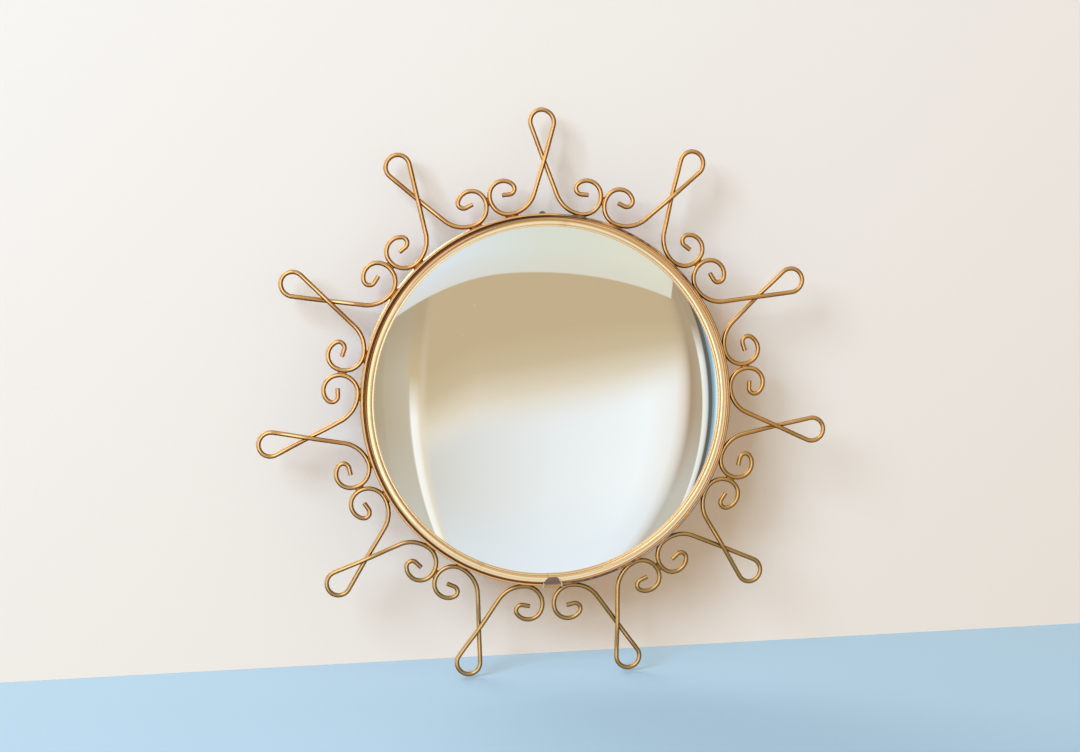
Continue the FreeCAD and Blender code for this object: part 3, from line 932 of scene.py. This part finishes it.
class SUNBURST_OT_make_joints(bpy.types.Operator):
    """Make the brazed joints at the feet and between the scrolls"""
    bl_idname = "sunburst.make_joints"
    bl_label = "Make joints"

    def execute(self, context):
        finish = colours()
        # Brass filler, brazed: dull yellow, lumpy, with brown stains of flux
        filler = mottled_metal(
            "brazed_brass_filler", finish.braze, finish.flux,
            size=3.0, low=0.4, high=0.6, rough=0.38, relief=0.2,
        )
        add_piece("foot_webs", foot_webs(), filler, ["foot_braze_joints"], crease=80)
        add_piece("scroll_joints", scroll_spots(), filler, ["scroll_braze_joints"], crease=80)
        return {"FINISHED"}


CLIP_HOOK_STEPS = 4


def clip_path():
    """Places of radius and depth under the clip, from its hook over the crest and the fold to its leg's end.

    Each comes with the way that it faces. The number of the place at the fold is given too.
    """
    size = ring_sizes()
    low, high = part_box("ray_hoop")
    hoop_radius = high.x + SEAT
    hoop_front = low.y - SEAT
    crest_radius = wall_radius() + size.inner_round
    crest_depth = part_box("bezel_ring")[0].y
    inner_crest = crest_depth + size.inner_round
    shoulder = crest_depth + size.outer_round
    clear = size.outer_round + SEAT
    away = Vector((hoop_radius - crest_radius, hoop_front - shoulder))
    touch = math.atan2(away.y, away.x) - math.acos(clear / away.length)
    leaf_facing = heading(touch)
    leaf_start = Vector((crest_radius, shoulder)) + leaf_facing * clear
    corner = Vector((hoop_radius, hoop_front))
    forwards = -QUARTER_TURN
    outwards = Vector((1, 0))
    round_steps = 8
    leaf_steps = 10
    fold_steps = 5

    path = []
    for index in range(CLIP_HOOK_STEPS):
        facing = heading(forwards - size.clip_hook * (1 - index / CLIP_HOOK_STEPS))
        path.append((Vector((crest_radius, inner_crest)) + facing * (size.inner_round + SEAT), facing))
    for index in range(round_steps):
        facing = heading(forwards + (touch - forwards) * index / round_steps)
        path.append((Vector((crest_radius, shoulder)) + facing * clear, facing))
    for index in range(leaf_steps + 1):
        path.append((leaf_start.lerp(corner, index / leaf_steps), leaf_facing))
    fold = len(path) - 1
    for index in range(1, fold_steps + 1):
        path.append((corner, leaf_facing.lerp(outwards, index / fold_steps).normalized()))
    for share in (0.25, 0.5, 0.75, 1.0):
        path.append((corner + Vector((0, size.clip_leg * share)), outwards))
    return path, fold


def clip_reach(place):
    """Half of the clip's width at a place of its path: a half round whose flat side is at the fold."""
    size = ring_sizes()
    least = 0.8 * MM
    half_width = size.clip_width / 2
    flat_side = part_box("ray_hoop")[1].x + SEAT + size.sheet - size.clip_setback
    drop = min(half_width, max(0.0, flat_side - place.x))
    return math.sqrt(max(half_width ** 2 - drop ** 2, least ** 2))


def clip_skin(path, middle, hoop_radius):
    """Skin of the clip's sheet along its path, dented a little and filed thin at its hooked end."""
    size = ring_sizes()
    columns = 16
    filed = 0.3
    dent_depth = 0.12 * MM
    dent_wave = 600
    edge = glass_edge()
    rings = []
    for index, (place, facing) in enumerate(path):
        thin = min(1.0, filed + (1 - filed) * index / CLIP_HOOK_STEPS)
        reach = clip_reach(place)
        seated = flattened(place, edge)
        front = []
        back = []
        for column in range(columns + 1):
            share = 2 * column / columns - 1
            turn = middle - share * reach / hoop_radius
            dent = noise.noise(Vector((share * 3, place.x * dent_wave, place.y * dent_wave))) * dent_depth
            skin = flattened(place + facing * (size.sheet * thin + dent), edge)
            front.append(on_ring(skin.x, skin.y, turn))
            back.append(on_ring(seated.x, seated.y, turn))
        rings.append(front + list(reversed(back)))
    return loft(rings)


def clip_beads(path, fold, middle, hoop_radius):
    """Skin of the beads of solder along the clip's two edges, each from a share of the way to the fold."""
    half_width = 0.65 * MM
    half_depth = 0.75 * MM
    half_sheet = ring_sizes().sheet * 0.5
    edge = glass_edge()
    beads = []
    for side, start in ((-1, 0.7), (1, 0.3)):
        stations = []
        for place, facing in path[math.ceil(start * fold):fold + 1]:
            turn = middle - side * clip_reach(place) / hoop_radius
            skin = flattened(place + facing * half_sheet, edge)
            centre = on_ring(skin.x, skin.y, turn)
            across = on_ring(1, 0, turn + QUARTER_TURN)
            lift = on_ring(facing.x, facing.y, turn)
            stations.append((centre, half_width, half_depth, across, lift))
        beads.append(blob(stations, side))
    return joined(beads)


class SUNBURST_OT_make_clip(bpy.types.Operator):
    """Make the half-round clip folded over the seam, with its soldered edges"""
    bl_idname = "sunburst.make_clip"
    bl_label = "Make clip"

    def execute(self, context):
        finish = colours()
        hoop_radius = hoop_place()[0]
        middle = math.pi - math.asin(ring_sizes().clip_offset / hoop_radius)
        path, fold = clip_path()
        skin = clip_skin(path, middle, hoop_radius)
        add_piece("half_round_clip", skin, oxidised_plate(), ["seam_clip"], crease=50)
        # Tin solder, cast in place: bright grey-white with brown stains
        solder = mottled_metal(
            "cast_tin_solder", finish.solder, finish.clip_brown,
            size=2.0, low=0.55, high=0.75, rough=0.25, relief=0.1,
        )
        beads = clip_beads(path, fold, middle, hoop_radius)
        add_piece("clip_solder", beads, solder, crease=80)
        return {"FINISHED"}


class SUNBURST_OT_finish_back(bpy.types.Operator):
    """Give the board, the packing and the tabs their materials"""
    bl_idname = "sunburst.finish_back"
    bl_label = "Finish back"

    def execute(self, context):
        finish = colours()
        # Hardboard, pressed: matt brown with short dark fibres
        board = fibrous(
            "pressed_hardboard", finish.board, finish.board_fibre,
            size=1.6, stretch=1.0, rough=0.8, relief=0.2,
        )
        refinish("backing_board", board)
        # Wool felt, pressed: grey, soft and without any gloss
        felt = fibrous(
            "pressed_wool_felt", finish.felt, finish.back_paint,
            size=0.8, stretch=1.0, rough=1.0, relief=0.3,
        )
        refinish("packing_ring", felt)
        # Strip steel, oxidised: dark and dull, with rust in its pits
        steel = mottled_metal(
            "oxidised_strip_steel", finish.steel, finish.rust,
            size=4.0, low=0.5, high=0.7, rough=0.42, relief=0.15,
        )
        refinish("retaining_tabs", steel)
        return {"FINISHED"}


class SUNBURST_OT_finish_hanger(bpy.types.Operator):
    """Give the strap, its rivets and the ring their materials"""
    bl_idname = "sunburst.finish_hanger"
    bl_label = "Finish hanger"

    def execute(self, context):
        finish = colours()
        # Strap steel, blackened: dark and dull, with more rust than the tabs
        strap = mottled_metal(
            "blackened_strap_steel", finish.steel, finish.rust,
            size=3.0, low=0.45, high=0.65, rough=0.4, relief=0.15,
        )
        refinish("hanger_strap", strap)
        # Steel wire, drawn: light grey and smooth, with dark stains
        wire = mottled_metal(
            "drawn_ring_steel", finish.rivet, finish.steel,
            size=2.0, low=0.45, high=0.7, rough=0.28, relief=0.08,
        )
        refinish("hanger_ring", wire)
        # Aluminium, headed cold: pale, with few stains
        rivets = mottled_metal(
            "headed_aluminium", finish.rivet, finish.steel,
            size=1.5, low=0.55, high=0.75, rough=0.3, relief=0.1,
        )
        refinish("hanger_rivets", rivets)
        return {"FINISHED"}


def matt_paint(name, colour, size):
    """Matt paint, rolled on: an even colour with a faint roller texture of a size in millimetres."""
    material, shader, add = begin_material(name)
    roller = add("TexNoise", [add("TexCoord").outputs["Object"], per_size(size), 3.0])
    bump = add("Bump", {"Height": roller, "Strength": 0.05, "Distance": 0.5 * MM})
    fill(shader, {"Base Color": colour, "Roughness": 0.75, "Specular IOR Level": 0.25, "Normal": bump})
    return material


def one_sided(material):
    """Show a backdrop only from its front, and let light from behind it reach the object."""
    tree = material.node_tree
    add = partial(add_node, tree)
    facing = add("Math", [1.0, add("NewGeometry").outputs["Backfacing"]], operation="SUBTRACT")
    shown = add("Math", [add("LightPath").outputs["Is Camera Ray"], facing], operation="MULTIPLY")
    mix = add("MixShader", [shown, add("BsdfTransparent"), tree.nodes["Principled BSDF"]])
    fill(tree.nodes["Material Output"], {"Surface": mix})


def add_sheet(name, corners, material):
    """A flat four-cornered sheet of the stage."""
    mesh = bpy.data.meshes.new(name)
    mesh.from_pydata(corners, [], [(0, 1, 2, 3)])
    mesh.materials.append(material)
    sheet = bpy.data.objects.new(name, mesh)
    bpy.context.scene.collection.objects.link(sheet)
    return sheet


def add_lamp(name, place, width, height, power, hex_colour):
    """A soft lamp that points at the mirror's centre."""
    lamp = bpy.data.lights.new(name, "AREA")
    lamp.shape = "RECTANGLE"
    lamp.size = width
    lamp.size_y = height
    lamp.energy = power
    lamp.color = linear(hex_colour)
    holder = bpy.data.objects.new(name, lamp)
    holder.location = place
    holder.rotation_mode = "QUATERNION"
    holder.rotation_quaternion = (-Vector(place)).to_track_quat("-Z", "Y")
    bpy.context.scene.collection.objects.link(holder)
    return holder


def studio_world():
    """Even light all round, a pale ground for the camera, and a pale studio for the mirror to reflect."""
    world = bpy.data.worlds.new("studio")
    world.use_nodes = True
    tree = world.node_tree
    add = partial(add_node, tree)
    # A way into the studio, as how far it goes across and up for each step forward
    parts = add("SeparateXYZ", [add("TexCoord").outputs["Generated"]])
    ahead = add("Math", [parts.outputs["Y"], -1.0], operation="MULTIPLY")
    depth = add("Math", [ahead, 0.05], operation="MAXIMUM")
    across = add("Math", [parts.outputs["X"], depth], operation="DIVIDE")
    rise = add("Math", [parts.outputs["Z"], depth], operation="DIVIDE")
    sides = add("MapRange", [across, -1.5, 3.0, 0.0, 1.0])

    # Far side of the studio: tan shade above, white light below, with the shade's edge lower on the left
    slope = add("Math", [across, -0.16, rise], operation="MULTIPLY_ADD")
    corner = add("MapRange", [across, -0.3, -0.75, 0.0, 0.16])
    shaded = add("Math", [slope, corner], operation="ADD")
    lit_share = add("MapRange", [shaded, 0.34, -0.3, 0.0, 1.0])
    lit_tone = add(
        "ValToRGB", [sides],
        stops=[(0.17, "#d8d5cc"), (0.37, "#f0f3f3"), (0.53, "#fbffff"), (0.64, "#f4f2ec")],
    )
    shade_tone = add(
        "ValToRGB", [lit_share],
        stops=[(0.0, "#cab48f"), (0.3, "#d2bf9d"), (0.62, "#eadfca"), (0.85, "#f1eade")],
    )
    lit_low = add("MapRange", [rise, -0.7, -1.5, 0.0, 0.6])
    lit_cool = add("Mix", [lit_low, lit_tone, "#e6f0f8"], data_type="RGBA")
    far_lit = add("MapRange", [lit_share, 0.5, 1.0, 0.0, 1.0], interpolation_type="SMOOTHSTEP")
    far_side = add("Mix", [far_lit, shade_tone, lit_cool], data_type="RGBA")

    # Sides, from left to right: a tan return, a bright strip in the corner, the far side, a brown corner
    side_tone = add(
        "ValToRGB", [sides],
        stops=[
            (0.0, "#ac9b80"), (0.085, "#baab8f"), (0.09, "#c0b297"), (0.152, "#c9bea8"), (0.156, "#fffffc"),
            (0.167, "#fffbf0"), (0.174, "#eee2cc"), (0.65, "#d8c4a6"), (0.69, "#b0967a"), (0.735, "#b8a68c"),
        ],
    )
    strip = add("ValToRGB", [sides], stops=[(0.147, 0), (0.152, 1), (0.174, 1), (0.19, 0)])
    strip_height = add("MapRange", [rise, -0.2, 0.1, 0.0, 1.0])
    strip_shade = add("Math", [strip, strip_height], operation="MULTIPLY")
    beside_strip = add("Math", [1.0, strip], operation="SUBTRACT")
    side_low = add("MapRange", [rise, -0.3, -1.2, 0.0, 0.6])
    side_cool = add("Math", [beside_strip, side_low], operation="MULTIPLY")
    side_high = add("MapRange", [rise, 0.1, 0.5, 0.0, 0.7])
    side = side_tone
    for amount, tone in ((strip_shade, "#d0ba94"), (side_cool, "#d2d4ce"), (side_high, "#b4a083")):
        side = add("Mix", [amount, side, tone], data_type="RGBA")
    side_share = add("ValToRGB", [sides], stops=[(0.172, 1), (0.19, 0), (0.62, 0), (0.695, 1)])

    # Far right: a white band that darkens above, its dark edge and pale blue beyond, all leaning a little
    leaning = add("Math", [rise, 0.19, across], operation="MULTIPLY_ADD")
    band_side = add("MapRange", [leaning, 1.85, 2.7, 0.0, 1.0])
    band_tone = add(
        "ValToRGB", [band_side],
        stops=[
            (0.06, "#c0b59f"), (0.1, "#fbf9ea"), (0.18, "#eef4f3"), (0.26, "#e1e4e6"), (0.31, "#d4d4ca"),
            (0.35, "#b0aa9a"), (0.38, "#66625c"), (0.54, "#66675f"), (0.6, "#8fa3ad"), (0.68, "#7fb4d8"),
            (0.79, "#c4e6f4"), (0.86, "#f4fffc"),
        ],
    )
    band_width = add("MapRange", [band_side, 0.38, 0.34, 0.0, 1.0])
    band_height = add("MapRange", [rise, 0.25, 0.6, 0.0, 1.0])
    band_shade = add("Math", [band_width, band_height], operation="MULTIPLY")
    band = add("Mix", [band_shade, band_tone, "#b29c80"], data_type="RGBA")
    band_share = add("MapRange", [band_side, 0.04, 0.08, 0.0, 1.0])

    # Overhead: pale, with a level edge that drops towards the left and climbs at the far right
    drop = add("MapRange", [across, -0.1, -2.1, 0.81, 0.33], interpolation_type="SMOOTHSTEP")
    climb = add("Math", [across, 1.2, -1.01], operation="MULTIPLY_ADD")
    edge = add("Math", [drop, climb], operation="MAXIMUM")
    above = add("Math", [rise, edge], operation="SUBTRACT")
    overhead_share = add("MapRange", [above, -0.008, 0.008, 0.0, 1.0])
    near_edge = add("MapRange", [above, 0.0, 0.3, 0.6, 0.0])
    overhead_tone = add("ValToRGB", [sides], stops=[(0.17, "#e4ecf4"), (0.38, "#e0e3d5"), (0.62, "#e6e3cf")])
    overhead = add("Mix", [near_edge, overhead_tone, "#dfd8c8"], data_type="RGBA")

    # Beside and behind the mirror: light towards the upper left, tan towards the lower right
    aside_share = add("MapRange", [ahead, 0.33, 0.2, 0.0, 1.0])
    low_right = add("Math", [parts.outputs["X"], parts.outputs["Z"]], operation="SUBTRACT")
    right_share = add("MapRange", [low_right, -1.0, 1.0, 0.0, 1.0])
    aside = add(
        "ValToRGB", [right_share],
        stops=[(0.0, "#e6dcc8"), (0.35, "#d2c4aa"), (0.7, "#b09a7e"), (1.0, "#9a8468")],
    )
    # Far left: a bright pane that gleams on the metal
    pane_side = add("MapRange", [parts.outputs["X"], -0.83, -0.87, 0.0, 1.0])
    off_level = add("Math", [parts.outputs["Z"]], operation="ABSOLUTE")
    pane_height = add("MapRange", [off_level, 0.5, 0.4, 0.0, 1.0])
    pane_share = add("Math", [pane_side, pane_height], operation="MULTIPLY")
    strength = add("MapRange", [pane_share, 0.0, 1.0, 1.0, 1.2])

    layers = (
        (side_share, side),
        (band_share, band),
        (overhead_share, overhead),
        (aside_share, aside),
        (pane_share, "#fff6e6"),
    )
    reflected = far_side
    for amount, tone in layers:
        reflected = add("Mix", [amount, reflected, tone], data_type="RGBA")
    even = tree.nodes["Background"]
    fill(even, ["#ffe9cd", 0.57])
    studio = add("Background", [reflected, strength])
    ground = add("Background", [colours().wall, 1.0])
    path = add("LightPath")
    lit = add("MixShader", [path.outputs["Is Glossy Ray"], even, studio])
    shown = add("MixShader", [path.outputs["Is Camera Ray"], lit, ground])
    fill(tree.nodes["World Output"], {"Surface": shown})
    bpy.context.scene.world = world


def add_camera():
    """The camera: a little left of the mirror's axis and a little above it."""
    azimuth = math.radians(-9.18)
    elevation = math.radians(4.89)
    roll = math.radians(-0.334)
    distance = 1456.8 * MM
    aim_right = -3.94 * MM
    aim_up = 17.02 * MM
    focal_length = 66.67
    sensor_width = 36.0
    back = Vector((
        math.sin(azimuth) * math.cos(elevation),
        -math.cos(azimuth) * math.cos(elevation),
        math.sin(elevation),
    ))
    right = Vector((math.cos(azimuth), math.sin(azimuth), 0))
    level_up = back.cross(right)
    up = level_up * math.cos(roll) - right * math.sin(roll)
    right = right * math.cos(roll) + level_up * math.sin(roll)
    eye = back * distance
    target = right * aim_right + up * aim_up
    back = (eye - target).normalized()
    right = up.cross(back).normalized()
    up = back.cross(right)
    lens = bpy.data.cameras.new("front_camera")
    lens.lens = focal_length
    lens.sensor_width = sensor_width
    camera = bpy.data.objects.new("front_camera", lens)
    turned = Matrix((right, up, back)).transposed().to_4x4()
    camera.matrix_world = Matrix.Translation(eye) @ turned
    bpy.context.scene.collection.objects.link(camera)
    bpy.context.scene.camera = camera


def add_floor(level, reach):
    """A floor just under the mirror."""
    corners = [(-reach, -reach, level), (reach, -reach, level), (reach, reach, level), (-reach, reach, level)]
    floor = add_sheet("floor", corners, matt_paint("matt_floor_paint", colours().floor, size=3))
    # The mirror and the wire reflect the studio of the world, which has a floor of its own,
    # and the floor's colour isn't cast up on the wall
    floor.visible_glossy = False
    floor.visible_diffuse = False


def add_backdrop(floor_level, reach):
    """A backdrop behind the mirror that leans forward and recedes to the right."""
    depth = 68 * MM
    height = 0.7
    lean = math.tan(math.radians(7.4))
    recede = reach * math.tan(math.radians(4.0))
    top_depth = depth - (height - floor_level) * lean
    corners = [
        (-reach, depth - recede, floor_level),
        (reach, depth + recede, floor_level),
        (reach, top_depth + recede, height),
        (-reach, top_depth - recede, height),
    ]
    paint = matt_paint("matt_wall_paint", colours().wall, size=4)
    one_sided(paint)
    add_sheet("backdrop", corners, paint)


def add_lamps():
    """The lamps, of which the glass shows none."""
    key = add_lamp("key_lamp", (-2.4, -3.3, 1.75), 1.7, 1.7, 196.0, "#cae5ff")
    key.visible_glossy = False
    # A broad lamp gleams on the metal; light linking keeps it off the glass
    gleam = add_lamp("gleam_lamp", (-0.75, -2.4, 0.4), 1.1, 3.2, 16.5, "#fbf9f4")
    gleam.visible_diffuse = False
    ungleaming = bpy.data.collections.new("not_lit_by_gleam_lamp")
    ungleaming.objects.link(bpy.data.objects["convex_glass"])
    ungleaming.collection_objects[0].light_linking.link_state = "EXCLUDE"
    gleam.light_linking.receiver_collection = ungleaming
    side_lamp = add_lamp("fill_lamp", (1.8, -1.8, 0.6), 1.6, 1.6, 2.0, "#ffe6c4")
    side_lamp.visible_glossy = False
    add_lamp("rear_lamp", (-0.9, 2.0, 1.2), 1.6, 1.6, 26.0, "#fffdf8")


class SUNBURST_OT_set_stage(bpy.types.Operator):
    """Set the floor, the backdrop, the lamps and the camera"""
    bl_idname = "sunburst.set_stage"
    bl_label = "Set stage"

    def execute(self, context):
        under = 0.3 * MM
        floor_level = cad_box[0].z - under
        reach = 4.0
        add_floor(floor_level, reach)
        add_backdrop(floor_level, reach)
        add_lamps()
        studio_world()
        add_camera()
        context.scene.view_settings.view_transform = "Standard"
        return {"FINISHED"}


class SUNBURST_PT_pieces(bpy.types.Panel):
    """Lists the pieces of the mirror"""
    bl_idname = "SUNBURST_PT_pieces"
    bl_label = "Sunburst mirror"
    bl_space_type = "VIEW_3D"
    bl_region_type = "UI"
    bl_category = "Sunburst"

    def draw(self, context):
        for operator in OPERATORS:
            self.layout.operator(operator.bl_idname)
        for group in (ring_sizes(), ray_sizes(), colours()):
            box = self.layout.box()
            for name in group.__annotations__:
                box.prop(group, name)


OPERATORS = (
    SUNBURST_OT_make_glass,
    SUNBURST_OT_make_moulding,
    SUNBURST_OT_finish_hoop,
    SUNBURST_OT_make_rays,
    SUNBURST_OT_make_joints,
    SUNBURST_OT_make_clip,
    SUNBURST_OT_finish_back,
    SUNBURST_OT_finish_hanger,
    SUNBURST_OT_set_stage,
)
CLASSES = (RingSizes, RaySizes, Finishes) + OPERATORS + (SUNBURST_PT_pieces,)


def register():
    # Without a seed, noise vectors are drawn from the clock and the wires differ from run to run
    noise.seed_set(NOISE_SEED)
    for new_class in CLASSES:
        bpy.utils.register_class(new_class)
    bpy.types.Scene.sunburst_ring = PointerProperty(type=RingSizes)
    bpy.types.Scene.sunburst_rays = PointerProperty(type=RaySizes)
    bpy.types.Scene.sunburst_finishes = PointerProperty(type=Finishes)


def unregister():
    del bpy.types.Scene.sunburst_finishes
    del bpy.types.Scene.sunburst_rays
    del bpy.types.Scene.sunburst_ring
    for old_class in reversed(CLASSES):
        bpy.utils.unregister_class(old_class)


def main():
    register()
    bpy.ops.sunburst.make_glass()
    bpy.ops.sunburst.make_moulding()
    bpy.ops.sunburst.finish_hoop()
    bpy.ops.sunburst.make_rays()
    bpy.ops.sunburst.make_joints()
    bpy.ops.sunburst.make_clip()
    bpy.ops.sunburst.finish_back()
    bpy.ops.sunburst.finish_hanger()
    bpy.ops.sunburst.set_stage()
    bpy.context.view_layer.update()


if __name__ == "__main__":
    main()
